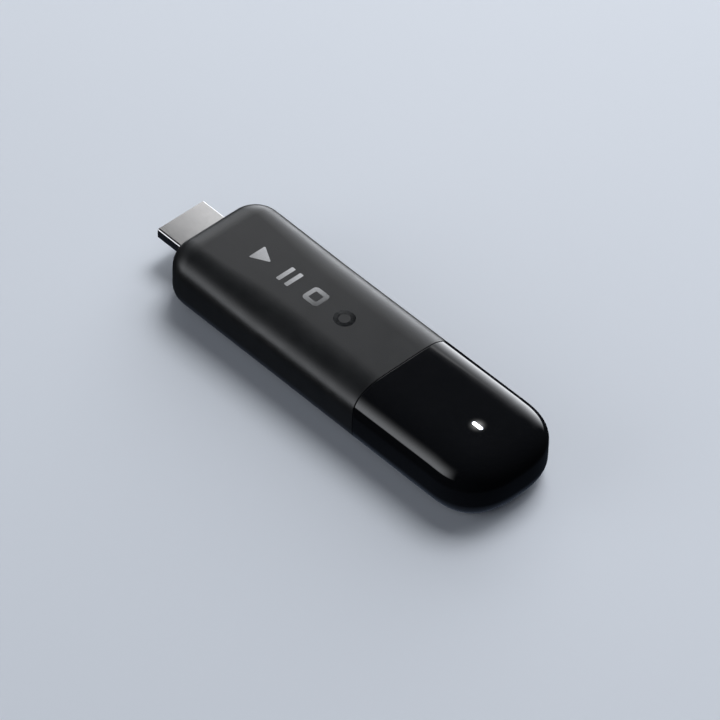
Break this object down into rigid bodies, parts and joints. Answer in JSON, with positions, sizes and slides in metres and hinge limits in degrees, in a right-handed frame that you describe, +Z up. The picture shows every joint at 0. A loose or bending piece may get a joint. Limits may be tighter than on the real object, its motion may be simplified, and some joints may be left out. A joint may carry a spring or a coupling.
{
  "type": "streaming media stick",
  "caption": "Pocket streaming player: a matte sleeve and a gloss rounded cap with a status light, a display plug at one end, and a power socket and reset button on one side.",
  "frame": {"origin": "middle of the underside of the whole stick, display plug included, on the surface that it rests on", "axes": "+X along the stick from the display plug to the rounded end, +Y towards the side with the power socket and the reset button, +Z up through the face with the status light"},
  "size_m": [0.1082, 0.0294, 0.0154],
  "materials": {
    "matte_charcoal": "fine spark-eroded matte on a charcoal moulding",
    "gloss_black": "mirror-polished black moulding",
    "milky_lens": "milky diffusing polycarbonate, lit white",
    "light_source": "small white light-emitting diode",
    "nickel": "nickel-plated folded steel",
    "gold_contact": "gold-plated copper alloy",
    "connector_black": "glass-filled nylon moulding",
    "board_green": "solder mask over a glass-epoxy board",
    "chip_black": "epoxy chip moulding",
    "tinned_sheet": "tin-plated steel sheet",
    "ferrite": "moulded ferrite",
    "thermal_pad": "soft filled silicone pad",
    "spreader_aluminium": "extruded and sawn aluminium",
    "tray_grey": "plain moulded tray",
    "screw_black": "black zinc-plated steel"
  },
  "bodies": {
    "stick": {"matte_sleeve": "matte_charcoal", "gloss_end_cap": "gloss_black", "light_guide": "milky_lens", "status_led": "light_source", "plug_shell": "nickel", "socket_shell": "nickel", "plug_contact_01": "gold_contact", "plug_contact_02": "gold_contact", "plug_contact_03": "gold_contact", "plug_contact_04": "gold_contact", "plug_contact_05": "gold_contact", "plug_contact_06": "gold_contact", "plug_contact_07": "gold_contact", "plug_contact_08": "gold_contact", "plug_contact_09": "gold_contact", "plug_contact_10": "gold_contact", "plug_contact_11": "gold_contact", "plug_contact_12": "gold_contact", "plug_contact_13": "gold_contact", "plug_contact_14": "gold_contact", "plug_contact_15": "gold_contact", "plug_contact_16": "gold_contact", "plug_contact_17": "gold_contact", "plug_contact_18": "gold_contact", "plug_contact_19": "gold_contact", "socket_contact_1": "gold_contact", "socket_contact_2": "gold_contact", "socket_contact_3": "gold_contact", "socket_contact_4": "gold_contact", "socket_contact_5": "gold_contact", "plug_insulator": "connector_black", "socket_tongue": "connector_black", "reset_switch": "connector_black", "main_board": "board_green", "processor": "chip_black", "power_manager": "chip_black", "memory_chip": "chip_black", "storage_chip": "chip_black", "radio_module": "tinned_sheet", "crystal": "tinned_sheet", "top_shield": "tinned_sheet", "bottom_shield": "tinned_sheet", "switch_cover": "tinned_sheet", "wifi_antenna": "tinned_sheet", "bluetooth_antenna": "tinned_sheet", "power_inductor_a": "ferrite", "power_inductor_b": "ferrite", "processor_pad": "thermal_pad", "spreader_pad": "thermal_pad", "bottom_pad": "thermal_pad", "top_spreader": "spreader_aluminium", "bottom_spreader": "spreader_aluminium", "board_tray": "tray_grey", "front_screw": "screw_black", "rear_screw": "screw_black"},
    "reset_push": {"reset_button": "gloss_black", "switch_plunger": "connector_black"}
  },
  "joints": [
    {"name": "reset_press", "type": "slide", "parent": "stick", "child": "reset_push", "axis": [0, -1, 0], "range_m": [0, 0.00025], "stiffness_N_per_m": 1500}
  ]
}
